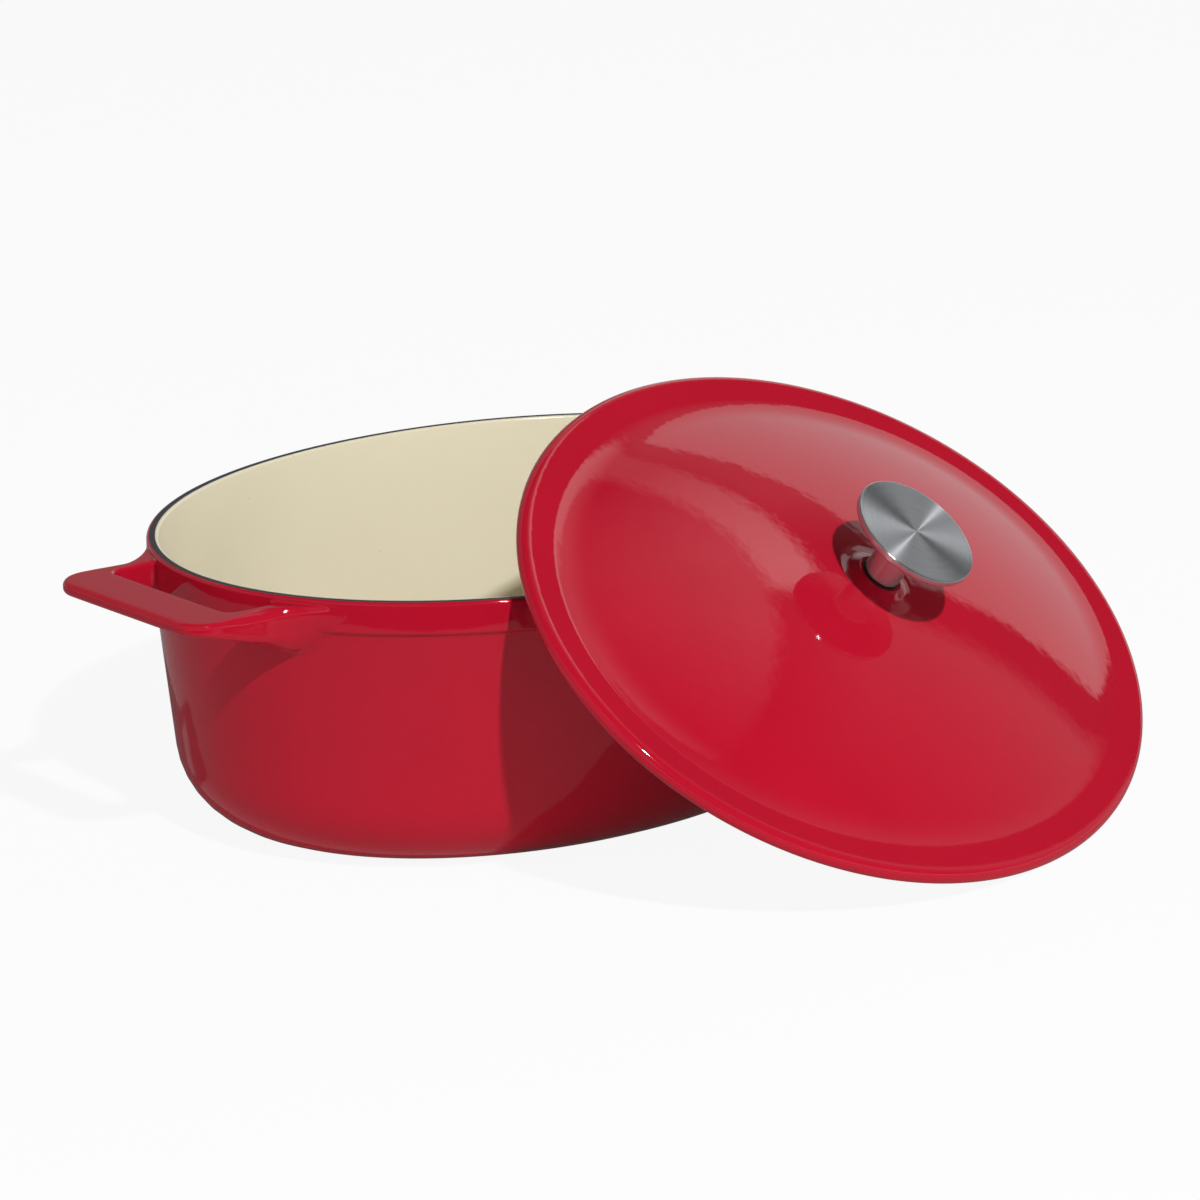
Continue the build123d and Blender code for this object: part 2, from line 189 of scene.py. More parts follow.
class KnobSizes(bpy.types.PropertyGroup):
    """Sizes of the turned knob."""

    radius: length("Radius", "Of the disc", 24 * MM)
    high: length("Height", "Stem and disc", 22.9 * MM)
    edge: length("Edge", "Thickness of the disc at its edge", 2.6 * MM)
    cone: length("Cone", "How much the disc thickens towards the stem", 3.0 * MM)
    stem: length("Stem", "Radius of the stem", 7 * MM)
    seal: length("Seal", "Thickness of the seal below the stem", 0.6 * MM)
    hole: length("Hole", "Radius of the tapped hole", 3.05 * MM)
    hole_deep: length("Hole depth", "Depth of the tapped hole", 14 * MM)
    top_edge: length("Top edge", "Rounded upper edge of the disc", 0.4 * MM)
    low_edge: length("Lower edge", "Rounded lower edge of the disc", 0.8 * MM)
    throat: length("Throat", "Hollow corner between the disc and the stem", 2.2 * MM)
    foot_edge: length("Foot edge", "Rounded foot of the stem", 0.4 * MM)
    hole_edge: length("Hole edge", "Rounded edge of the tapped hole", 0.2 * MM)


class Finishes(bpy.types.PropertyGroup):
    """Colours of the materials."""

    red: colour("Red enamel", "Outside of the pot and the lid", "#b5122a")
    cream: colour("Cream enamel", "Inside of the pot and the lid", "#ece4cc")
    black: colour("Black ground coat", "Rim and seat", "#2c2e32")
    steel: colour("Stainless steel", "Knob", "#dde0e4")
    zinc: colour("Zinc plating", "Screw and washers", "#b0b3b6")
    rubber: colour("Silicone", "Seal below the knob", "#1b1b1d")
    floor: colour("Floor", "Pale studio floor", "#eeeeee")


def smooth(value):
    """Smooth step from 0 to 1."""
    value = np.clip(value, 0, 1)
    return value * value * (3 - 2 * value)


def corner_arc(corners, i, cuts):
    """Points of the arc that rounds one of the (x, y, corner radius) corners."""
    here = Vector(corners[i][:2])
    radius = corners[i][2]
    before = (Vector(corners[i - 1][:2]) - here).normalized()
    after = (Vector(corners[(i + 1) % len(corners)][:2]) - here).normalized()
    half = before.angle(after) / 2
    middle = here + (before + after).normalized() * radius / sin(half)
    start = here + before * radius / tan(half) - middle
    end = here + after * radius / tan(half) - middle
    sweep = pi - 2 * half
    points = []
    for share in np.linspace(0, 1, cuts + 1):
        points.append(middle + (start * sin(sweep * (1 - share)) + end * sin(sweep * share)) / sin(sweep))
    return points


def rounded(corners, step, closed=False):
    """Points along (x, y, corner radius) corners, with arcs at the corners and none far apart."""
    path = []
    for i, (x, y, radius) in enumerate(corners):
        path += corner_arc(corners, i, ARC_STEPS) if radius else [Vector((x, y))]
    if closed:
        path.append(path[0])
    filled = []
    for here, there in zip(path, path[1:]):
        cuts = max(1, round((there - here).length / step))
        filled += [here.lerp(there, k / cuts) for k in range(cuts)]
    return filled if closed else filled + [path[-1]]


def piece(name, body, rings, finish, closed=False, with_uv=False):
    """Object from rings of points, each ring closed, that rides on a body and has a finish."""
    rows, columns = rings.shape[:2]
    faces, corners = [], []
    for r in range(rows if closed else rows - 1):
        for c in range(columns):
            d, s = (c + 1) % columns, (r + 1) % rows
            faces.append((r * columns + c, r * columns + d, s * columns + d, s * columns + c))
            corners += [(c, r), (c + 1, r), (c + 1, r + 1), (c, r + 1)]
    mesh = bpy.data.meshes.new(name)
    mesh.from_pydata(rings.reshape(-1, 3).tolist(), [], faces)
    if with_uv:
        layer = mesh.uv_layers.new(name="turning")
        layer.data.foreach_set("uv", (np.array(corners) / (columns, rows)).astype(np.float32).ravel())
    tidy = bmesh.new()
    tidy.from_mesh(mesh)
    bmesh.ops.remove_doubles(tidy, verts=tidy.verts, dist=0.001 * MM)
    bmesh.ops.recalc_face_normals(tidy, faces=tidy.faces)
    tidy.to_mesh(mesh)
    tidy.free()
    mesh.shade_smooth()
    mesh.materials.append(finish)
    made = bpy.data.objects.new(name, mesh)
    bpy.context.scene.collection.objects.link(made)
    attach(made, body)
    return made


def add(tree, kind, inputs, **settings):
    """A node with its settings, whose inputs take a value or another node's output."""
    made = tree.nodes.new(kind)
    for name, value in settings.items():
        setattr(made, name, value)
    for name, value in inputs.items():
        if isinstance(value, bpy.types.NodeSocket):
            tree.links.new(value, made.inputs[name])
        else:
            made.inputs[name].default_value = value
    return made


def toned(base, share=1.0):
    """Opaque RGBA of a colour that is made darker or lighter by a share."""
    return (*[min(1, part * share) for part in base], 1)


def empty_material(name):
    """A material's node tree with only its output."""
    material = bpy.data.materials.get(name) or bpy.data.materials.new(name)
    material.use_nodes = True
    material.node_tree.nodes.clear()
    return material, material.node_tree


def gloss_red_vitreous_enamel():
    """Red glass fused on cast iron by dipping and firing.

    The eye sees a deep even red below a hard gloss. The gloss ripples like orange peel, about 6 mm
    from crest to crest, so that the edges of reflections look wavy.
    """
    material, tree = empty_material("gloss_red_vitreous_enamel")
    red = bpy.context.scene.oven_finishes.red
    place = add(tree, "ShaderNodeTexCoord", {}).outputs["Object"]
    cloud = add(tree, "ShaderNodeTexNoise", {"Vector": place, "Scale": 1 / (45 * MM), "Detail": 2})
    depth = add(tree, "ShaderNodeMix", {
        0: cloud.outputs["Fac"],
        6: toned(red, 0.93),
        7: toned(red, 1.07)}, data_type="RGBA")
    peel = add(tree, "ShaderNodeTexNoise", {"Vector": place, "Scale": 1 / (6 * MM), "Detail": 1})
    fine = add(tree, "ShaderNodeTexNoise", {"Vector": place, "Scale": 1 / (1.6 * MM), "Detail": 1})
    both = add(tree, "ShaderNodeMath", {0: fine.outputs["Fac"], 1: 0.12, 2: peel.outputs["Fac"]},
               operation="MULTIPLY_ADD")
    ripple = add(tree, "ShaderNodeBump", {
        "Height": both.outputs[0], "Strength": 1, "Distance": 0.045 * MM})
    glass = add(tree, "ShaderNodeBsdfPrincipled", {
        "Base Color": depth.outputs[2], "Roughness": 0.045, "IOR": 1.48, "Normal": ripple.outputs[0]})
    add(tree, "ShaderNodeOutputMaterial", {"Surface": glass.outputs[0]})
    return material


def gloss_cream_vitreous_enamel():
    """Cream glass fused on cast iron.

    The eye sees a warm even cream with a soft gloss, slight clouds of tone and scattered specks.
    """
    material, tree = empty_material("gloss_cream_vitreous_enamel")
    cream = bpy.context.scene.oven_finishes.cream
    place = add(tree, "ShaderNodeTexCoord", {}).outputs["Object"]
    cloud = add(tree, "ShaderNodeTexNoise", {"Vector": place, "Scale": 1 / (60 * MM), "Detail": 3})
    tone = add(tree, "ShaderNodeMix", {
        0: cloud.outputs["Fac"],
        6: (cream[0] * 0.95, cream[1] * 0.94, cream[2] * 0.9, 1),
        7: toned(cream)}, data_type="RGBA")
    speck = add(tree, "ShaderNodeTexVoronoi", {"Vector": place, "Scale": 1 / (9 * MM)})
    dot = add(tree, "ShaderNodeMath", {0: speck.outputs["Distance"], 1: 0.035}, operation="LESS_THAN")
    fleck = add(tree, "ShaderNodeMix", {
        0: dot.outputs[0],
        6: tone.outputs[2],
        7: (cream[0] * 0.72, cream[1] * 0.66, cream[2] * 0.52, 1)}, data_type="RGBA")
    peel = add(tree, "ShaderNodeTexNoise", {"Vector": place, "Scale": 1 / (7 * MM), "Detail": 1})
    ripple = add(tree, "ShaderNodeBump", {
        "Height": peel.outputs["Fac"], "Strength": 1, "Distance": 0.04 * MM})
    glass = add(tree, "ShaderNodeBsdfPrincipled", {
        "Base Color": fleck.outputs[2], "Roughness": 0.2, "IOR": 1.5, "Normal": ripple.outputs[0]})
    add(tree, "ShaderNodeOutputMaterial", {"Surface": glass.outputs[0]})
    return material


def fired_black_ground_coat():
    """Thin first coat that stays bare on the rim and the seat.

    The eye sees a matte near-black with a sandy grain, a little greyer where the grain stands up.
    """
    material, tree = empty_material("fired_black_ground_coat")
    black = bpy.context.scene.oven_finishes.black
    place = add(tree, "ShaderNodeTexCoord", {}).outputs["Object"]
    grain = add(tree, "ShaderNodeTexNoise", {"Vector": place, "Scale": 1 / (1.1 * MM), "Detail": 3})
    tone = add(tree, "ShaderNodeMix", {
        0: grain.outputs["Fac"],
        6: toned(black, 0.55),
        7: toned(black, 1.7)}, data_type="RGBA")
    sand = add(tree, "ShaderNodeBump", {
        "Height": grain.outputs["Fac"], "Strength": 1, "Distance": 0.12 * MM})
    coat = add(tree, "ShaderNodeBsdfPrincipled", {
        "Base Color": tone.outputs[2], "Roughness": 0.55, "IOR": 1.5, "Normal": sand.outputs[0]})
    add(tree, "ShaderNodeOutputMaterial", {"Surface": coat.outputs[0]})
    return material


def turned_stainless_steel():
    """Stainless steel faced on a lathe.

    The eye sees fine circles round the axis, and each highlight drawn out across them into a bow tie.
    The tool marks are about 0.1 mm apart; they are drawn at about 0.5 mm to show in a render.
    """
    material, tree = empty_material("turned_stainless_steel")
    steel = bpy.context.scene.oven_finishes.steel
    lathe = add(tree, "ShaderNodeUVMap", {}, uv_map="turning").outputs[0]
    stretch = add(tree, "ShaderNodeMapping", {"Vector": lathe, "Scale": (6, 160, 1)})
    marks = add(tree, "ShaderNodeTexNoise", {"Vector": stretch.outputs[0], "Scale": 1, "Detail": 3})
    tone = add(tree, "ShaderNodeMix", {
        0: marks.outputs["Fac"],
        6: toned(steel, 0.82),
        7: toned(steel, 1.12)}, data_type="RGBA")
    grooves = add(tree, "ShaderNodeBump", {
        "Height": marks.outputs["Fac"], "Strength": 0.5, "Distance": 0.02 * MM})
    circle = add(tree, "ShaderNodeTangent", {}, direction_type="UV_MAP", uv_map="turning")
    metal = add(tree, "ShaderNodeBsdfPrincipled", {
        "Base Color": tone.outputs[2], "Metallic": 1, "Roughness": 0.22, "Anisotropic": 1,
        "Anisotropic Rotation": 0.25, "Tangent": circle.outputs[0], "Normal": grooves.outputs[0]})
    add(tree, "ShaderNodeOutputMaterial", {"Surface": metal.outputs[0]})
    return material


def zinc_plated_steel():
    """Electroplated zinc on a cold formed screw and stamped washers.

    The eye sees a bluish grey metal, satin, with faint blotches.
    """
    material, tree = empty_material("zinc_plated_steel")
    zinc = bpy.context.scene.oven_finishes.zinc
    place = add(tree, "ShaderNodeTexCoord", {}).outputs["Object"]
    blotch = add(tree, "ShaderNodeTexNoise", {"Vector": place, "Scale": 1 / (2.5 * MM), "Detail": 4})
    tone = add(tree, "ShaderNodeMix", {
        0: blotch.outputs["Fac"],
        6: toned(zinc, 0.8),
        7: toned(zinc)}, data_type="RGBA")
    satin = add(tree, "ShaderNodeMapRange", {
        "Value": blotch.outputs["Fac"], "To Min": 0.28, "To Max": 0.46})
    metal = add(tree, "ShaderNodeBsdfPrincipled", {
        "Base Color": tone.outputs[2], "Metallic": 1, "Roughness": satin.outputs[0]})
    add(tree, "ShaderNodeOutputMaterial", {"Surface": metal.outputs[0]})
    return material


def moulded_silicone():
    """Black silicone rubber seal, moulded. The eye sees a dull soft black with a fine grain."""
    material, tree = empty_material("moulded_silicone")
    rubber = bpy.context.scene.oven_finishes.rubber
    place = add(tree, "ShaderNodeTexCoord", {}).outputs["Object"]
    grain = add(tree, "ShaderNodeTexNoise", {"Vector": place, "Scale": 1 / (0.4 * MM), "Detail": 2})
    dull = add(tree, "ShaderNodeMapRange", {
        "Value": grain.outputs["Fac"], "To Min": 0.55, "To Max": 0.75})
    skin = add(tree, "ShaderNodeBsdfPrincipled", {
        "Base Color": toned(rubber), "Roughness": dull.outputs[0], "IOR": 1.41})
    add(tree, "ShaderNodeOutputMaterial", {"Surface": skin.outputs[0]})
    return material


def half_width(reach):
    """Half width of the oval with this half length. It turns into a circle near the middle."""
    pot = bpy.context.scene.oven_pot
    oval_share = smooth((reach - ROUND_REACH) / (OVAL_REACH - ROUND_REACH))
    return reach - (pot.long - pot.wide) / 2 * oval_share


def oval_rings(section):
    """Rings of an oval piece from (half length, height) points of its section."""
    turn = np.linspace(0, 2 * pi, TURNS, endpoint=False)
    reach, height = np.array([tuple(p) for p in section]).T
    x = np.outer(reach, np.cos(turn))
    y = np.outer(half_width(reach), np.sin(turn))
    return np.stack([x, y, np.repeat(height[:, None], TURNS, 1)], 2)


def wall_reach(z):
    """Outside of the pot's wall and collar at a height."""
    pot = bpy.context.scene.oven_pot
    half = pot.long / 2
    foot = pot.high - pot.collar
    sloped = half - pot.step - (foot - z) * tan(pot.draft)
    return np.where(z > foot, half - pot.step * (1 - smooth((z - foot) / pot.step)), sloped)


def mouth_reach():
    """Half length of the pot's mouth at the top of the rim."""
    pot = bpy.context.scene.oven_pot
    return pot.long / 2 - pot.step + pot.collar * tan(pot.draft) - pot.wall


def pot_section():
    """Section of the iron, from the middle of the base round the rim to the middle of the floor."""
    pot = bpy.context.scene.oven_pot
    half = pot.long / 2
    foot = pot.high - pot.collar
    slope = tan(pot.draft)
    wall_foot = half - pot.step - foot * slope
    mouth = mouth_reach()
    floor = pot.base - pot.coat
    floor_reach = mouth - (pot.high - floor) * slope + pot.coat
    top = pot.high - pot.coat
    inner = mouth - (pot.high - top) * slope + pot.coat
    outside = [
        (0, 0, 0),
        (wall_foot, 0, pot.corner),
        (half - pot.step, foot, pot.collar_foot),
        (half, foot + pot.step, pot.collar_edge),
        (half, pot.high, pot.bead_round),
        (half - pot.bead_round - HAIR, pot.high, 0),
        (half - pot.bead_round - 2 * HAIR, top, 0),
        (inner, top, 0),
        (floor_reach, floor, pot.corner - pot.wall + pot.coat),
        (0, floor, 0),
    ]
    return rounded(outside, step=3 * MM)


def wall_x(y, z):
    """Outside of the pot at +X, at a distance from its long axis and a height."""
    reach = wall_reach(z)
    return reach * np.sqrt(1 - (y / half_width(reach)) ** 2)


def travelled(path):
    """Way along a path of points up to each of them."""
    steps = np.linalg.norm(np.diff(np.array(path), axis=0), axis=1)
    return np.concatenate([[0], np.cumsum(steps)])


def along(path, way, marks):
    """Points at marks along a path."""
    return np.stack([np.interp(marks, way, column) for column in np.array(path).T], 1)


def handle_sides():
    """Matching points on the handle's outer side and on its slot, from the root to the middle."""
    pot = bpy.context.scene.oven_pot
    grip = bpy.context.scene.oven_handle
    half, half_wide = pot.long / 2, pot.wide / 2
    side, slot = grip.wide / 2, grip.slot_long / 2
    bar = grip.reach - grip.grip

    # The outer side leaves the collar along its tangent and bends into the straight arm
    flare_x = half * sqrt(1 - (grip.flare / half_wide) ** 2)
    slope = Vector((flare_x / half ** 2, grip.flare / half_wide ** 2)).normalized()
    bend = (grip.flare - side) / slope.x
    run_out = Vector((flare_x, grip.flare))
    knee = Vector((flare_x + bend * slope.y, side))
    straight_share = 0.7
    straight = Vector((knee.x + bend * straight_share, side))
    outer = []
    for t in np.linspace(0, 1, FLARE_POINTS):
        outer.append(run_out * (1 - t) ** 2 + knee * 2 * t * (1 - t) + straight * t * t)
    outer += rounded([
        (straight.x + MM, side, 0), (grip.reach, side, grip.corner), (grip.reach, 0, 0)], step=3 * MM)
    slot_x = half * sqrt(1 - (slot / half_wide) ** 2)
    inner = rounded([(slot_x, slot, 0), (bar, slot, grip.slot_corner), (bar, 0, 0)], step=3 * MM)

    sides = []
    for path, corner, reach in ((outer, grip.corner, side), (inner, grip.slot_corner, slot)):
        way = travelled(path)
        turn_end = way[-1] - (reach - corner)
        turn_start = turn_end - corner * pi / 2
        marks = np.concatenate([
            np.linspace(0, turn_start, ARM_ROWS, endpoint=False),
            np.linspace(turn_start, turn_end, TURN_ROWS, endpoint=False),
            np.linspace(turn_end, way[-1], BAR_ROWS)])
        sides.append(along(path, way, marks))
    return sides


def handle_section(width, low_out, low_in):
    """Rounded section of the handle, from its outer side to its slot."""
    pot = bpy.context.scene.oven_pot
    grip = bpy.context.scene.oven_handle
    top = pot.high - grip.drop
    most = 0.45 * (top - low_out)
    fat = min(grip.fat_rounding, most)
    thin = grip.rounding
    corners = [(0, low_out, fat), (0, top, fat), (width, top, thin), (width, low_in, thin)]
    loop = []
    for i in range(len(corners)):
        loop += corner_arc(corners, i, ARC_STEPS - 1)
    points = []
    for i, here in enumerate(loop):
        there = loop[(i + 1) % len(loop)]
        cuts = FACE_CUTS if i % ARC_STEPS == ARC_STEPS - 1 else 1
        points += [here.lerp(there, k / cuts) for k in range(cuts)]
    return points


def with_root_fillets(rings):
    """Rings whose lines each run into the wall with their own fillet: small on top, larger below."""
    grip = bpy.context.scene.oven_handle
    first = rings[1]
    course = np.roll(first, -1, 0) - np.roll(first, 1, 0)
    away = np.stack([np.zeros(len(course)), course[:, 2], -course[:, 1]], 1)
    away /= np.linalg.norm(away, axis=1)[:, None]
    away *= np.sign(np.sum(away * (first - first.mean(0)), 1).sum())
    fillets = (away[:, 1] ** 2 * np.where(away[:, 1] > 0, grip.outer_fillet, grip.slot_fillet)
               + away[:, 2] ** 2 * np.where(away[:, 2] > 0, grip.top_fillet, grip.low_fillet))
    stations = np.arange(len(rings))
    lines = []
    for j, fillet in enumerate(fillets):
        line = rings[:, j]
        clear = line[:, 0] - wall_x(line[:, 1], line[:, 2])
        last = int(np.flatnonzero(clear[:len(clear) // 2] <= 0)[-1])
        meet = last + clear[last] / (clear[last] - clear[last + 1])
        corner = along(line, stations, [meet])[0]
        way = travelled(line)
        leave = np.interp(np.interp(meet, stations, way) + fillet, way, stations)
        foot = corner + away[j] * fillet
        foot[0] = wall_x(foot[1], foot[2])
        tip = along(line, stations, [leave])[0]
        share = np.linspace(0, 1, SKIRT_ROWS, endpoint=False)[:, None]
        skirt = foot * (1 - share) ** 2 + corner * 2 * share * (1 - share) + tip * share ** 2
        skirt[:, 0] = np.maximum(skirt[:, 0], wall_x(skirt[:, 1], skirt[:, 2]))
        skirt[0, 0] -= 2 * HAIR
        rest = np.linspace(leave, stations[-1], LOOP_ROWS)
        lines.append(np.concatenate([skirt, along(line, stations, rest)]))
    return np.stack(lines, 1)


def handle_rings():
    """Rings of the handle at +X, from one root round the grip to the other root."""
    pot = bpy.context.scene.oven_pot
    grip = bpy.context.scene.oven_handle
    top = pot.high - grip.drop
    side = grip.wide / 2
    lean_share, lean_power = 0.85, 1.2

    def under(x):
        inward = grip.reach - x
        turning = min(inward, grip.bend) ** 2 / (2 * grip.bend)
        return top - min(grip.root, grip.edge + grip.fall * (turning + max(0, inward - grip.bend)))

    rings = []
    for (ox, oy), (ix, iy) in zip(*handle_sides()):
        width = Vector((ix - ox, iy - oy)).length
        flare = max(0, oy - side) / max(MM, oy - iy)
        low = under(ox + (ix - ox) * flare)
        ring = []
        for u, z in handle_section(width, low, under(ix)):
            # Below the flare the outer side leans in, most at the bottom
            up = min(1, max(0, z - low) / (lean_share * (top - low)))
            across = u / width
            across += flare * (1 - across) * (1 - up) ** lean_power
            ring.append((ox + (ix - ox) * across, oy + (iy - oy) * across, z))
        rings.append(ring)
    rings = np.array(rings)
    rings = np.concatenate([rings[:1] - (ROOT_SINK, 0, 0), rings])

    half_loop = with_root_fillets(rings)
    mirrored = half_loop[::-1] * (1, -1, 1)
    return np.concatenate([half_loop[:-1], mirrored])


class OVEN_OT_pot(bpy.types.Operator):
    """Iron bowl with its collar and two loop handles, red outside"""

    bl_idname = "dutch_oven.pot"
    bl_label = "Pot casting"

    def execute(self, context):
        red = gloss_red_vitreous_enamel()
        bowl = piece("pot_bowl", "pot", oval_rings(pot_section()), red)
        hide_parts("pot_casting")
        loop = handle_rings()
        for name, way in (("handle_right", 1), ("handle_left", -1)):
            piece(name, "pot", loop * (way, way, 1), red)
        return {"FINISHED"}


class OVEN_OT_pot_coats(bpy.types.Operator):
    """Cream lining and black rim of the pot"""

    bl_idname = "dutch_oven.pot_coats"
    bl_label = "Pot coats"

    def execute(self, context):
        pot = context.scene.oven_pot
        mouth = mouth_reach()
        black_out = pot.long / 2 - pot.bead
        black_in = black_out - pot.black
        foot = mouth - (pot.high - pot.base) * tan(pot.draft)
        corner = pot.corner - pot.wall
        lining = rounded([
            (0, pot.base, 0),
            (foot, pot.base, corner),
            (mouth, pot.high, pot.mouth_round),
            (black_in + COAT_BACK, pot.high, 0),
            (black_in + COAT_BACK, pot.high - COAT_BACK, 0),
            (foot + COAT_BACK, pot.base - COAT_BACK, corner + COAT_BACK),
            (0, pot.base - COAT_BACK, 0)], step=3 * MM)
        made = piece("pot_lining", "pot", oval_rings(lining), gloss_cream_vitreous_enamel())
        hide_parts("pot_inner_enamel")

        proud = 0.03 * MM
        band = rounded([
            (black_out, pot.high - pot.coat, 0),
            (black_out, pot.high + proud, HAIR),
            (black_in, pot.high + proud, HAIR),
            (black_in, pot.high - pot.coat, 0)], step=0.6 * MM, closed=True)
        made = piece("pot_rim", "pot", oval_rings(band), fired_black_ground_coat(),
                     closed=True)
        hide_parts("pot_rim_enamel")
        return {"FINISHED"}


def lid_matrix():
    """Where the lid leans, from the knob's joint and the lid's long axis."""
    outward = Vector(knob_joint["axis"]).normalized()
    along = Vector(bpy.context.scene.oven_lid.along)
    along = (along - outward * along.dot(outward)).normalized()
    across = outward.cross(along)
    place = Matrix((along, across, outward)).transposed().to_4x4()
    place.translation = Vector(knob_joint["pos_m"])
    return place


def leaning(rings):
    """Rings in the lid's frame, moved to where the lid leans."""
    place = np.array(lid_matrix())
    return rings @ place[:3, :3].T + place[:3, 3]


def lid_heights():
    """Half lengths and heights that the lid's pieces share."""
    pot = bpy.context.scene.oven_pot
    lid = bpy.context.scene.oven_lid
    half = pot.long / 2 + lid.overhang
    groove = lid.lip_high - lid.groove
    ring_out = mouth_reach() - lid.ring_gap
    crown = groove + lid.rise
    return half, groove, crown, ring_out, ring_out - lid.ring_wide


def dome(x, y, sunk):
    """Height of the dome, or of a surface sunk below it: an arc across swept along an arc."""
    pot = bpy.context.scene.oven_pot
    lid = bpy.context.scene.oven_lid
    half, _, crown = lid_heights()[:3]
    foot = half - lid.lip_wide - lid.groove_wide
    foot_wide = foot - (pot.long - pot.wide) / 2
    along = (foot ** 2 + lid.rise ** 2) / (2 * lid.rise)
    across = (foot_wide ** 2 + lid.rise ** 2) / (2 * lid.rise)
    arm = along - across + np.sqrt((across - sunk) ** 2 - y ** 2)
    return crown - along + np.sqrt(arm ** 2 - x ** 2)


def domed(rings, sunk, level, blend):
    """Rings lifted on to the dome, which runs out softly on a level."""
    height = dome(rings[:, :, 0], rings[:, :, 1], sunk)
    near = np.clip(0.5 + (height - level) / (2 * blend), 0, 1)
    rings[:, :, 2] = level + (height - level) * near + blend * near * (1 - near)
    return rings


def reaches(first, last, step):
    """Half lengths from the first to the last, about a step apart, as flat section points."""
    count = max(2, round(abs(last - first) / step))
    return [(reach, 0) for reach in np.linspace(first, last, count)]


class OVEN_OT_lid(bpy.types.Operator):
    """Iron lid with a rounded lip, a shallow groove, a dome and a boss for the knob"""

    bl_idname = "dutch_oven.lid"
    bl_label = "Lid casting"

    def execute(self, context):
        lid = context.scene.oven_lid
        coat = context.scene.oven_pot.coat
        half, groove, crown, ring_out, ring_in = lid_heights()
        lip_in = half - lid.lip_wide
        lip_foot = lip_in - lid.lip_ramp
        dome_end = lip_foot - 3 * MM

        # The pad runs out on the dome, which lies a little below its crown there
        pad = oval_rings(rounded([
            (lid.hole, crown + lid.boss_high, 0),
            (lid.boss - 1.2 * MM, crown + lid.boss_high, 1.6 * MM),
            (lid.boss + 2.0 * MM, crown + 0.05 * MM, 4 * MM),
            (lid.boss + 4.4 * MM, crown - 0.28 * MM, 0)], step=1.2 * MM))
        top = domed(
            oval_rings(reaches(lid.boss + 5 * MM, dome_end, step=2 * MM)),
            sunk=0, level=groove, blend=lid.dome_soft)
        lip = oval_rings(rounded([
            (dome_end + 0.6 * MM, groove, 0),
            (lip_foot, groove, lid.lip_soft),
            (lip_in, lid.lip_high, lid.lip_soft),
            (half, lid.lip_high, lid.lip_edge),
            (half, 0, lid.lip_heel),
            (ring_out + lid.seat, 0, 0),
            (ring_out + lid.seat, coat, 0),
            (ring_out - coat, coat, 0),
            (ring_out - coat, coat - lid.ring_deep, 0),
            (ring_in + coat, coat - lid.ring_deep, 0)], step=1.2 * MM))
        under = domed(
            oval_rings(reaches(ring_in + coat, lid.spot, step=4 * MM)),
            sunk=lid.wall - coat, level=-MM, blend=0.5 * MM)
        flat = crown - lid.wall - lid.spot_deep
        spot = oval_rings([(lid.spot, flat), (lid.hole, flat)])
        rings = np.concatenate([pad, top, lip, under, spot])
        made = piece("lid_dome", "lid", leaning(rings), gloss_red_vitreous_enamel(),
                     closed=True)
        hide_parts("lid_casting")
        return {"FINISHED"}


class OVEN_OT_lid_coats(bpy.types.Operator):
    """Cream lining of the lid's hollow, and its black seat and locating ring"""

    bl_idname = "dutch_oven.lid_coats"
    bl_label = "Lid coats"

    def execute(self, context):
        lid = context.scene.oven_lid
        ring_out, ring_in = lid_heights()[3:]
        ring_foot = -lid.ring_deep
        inside = domed(
            oval_rings(reaches(lid.spot, ring_in, step=3 * MM)),
            sunk=lid.wall, level=ring_foot, blend=0.3 * MM)
        outside = domed(
            oval_rings(reaches(ring_in + COAT_BACK, lid.spot, step=3 * MM)),
            sunk=lid.wall - COAT_BACK, level=ring_foot, blend=0.3 * MM)
        edge = ring_foot + HAIR / 2
        foot = oval_rings([(ring_in, edge), (ring_in + COAT_BACK, edge)])
        rings = np.concatenate([inside, foot, outside])
        made = piece("lid_lining", "lid", leaning(rings), gloss_cream_vitreous_enamel(),
                     closed=True)
        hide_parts("lid_inner_enamel")

        seat = rounded([
            (ring_in + COAT_BACK, ring_foot, lid.ring_inner),
            (ring_out, ring_foot, lid.ring_outer),
            (ring_out, 0, lid.ring_root),
            (ring_out + lid.seat, 0, 0),
            (ring_out + lid.seat, COAT_BACK, 0),
            (ring_out - COAT_BACK, COAT_BACK, 0),
            (ring_out - COAT_BACK, COAT_BACK + ring_foot, 0),
            (ring_in + COAT_BACK, COAT_BACK + ring_foot, 0)], step=0.8 * MM, closed=True)
        made = piece("lid_seat", "lid", leaning(oval_rings(seat)), fired_black_ground_coat(),
                     closed=True)
        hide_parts("lid_rim_enamel")
        return {"FINISHED"}


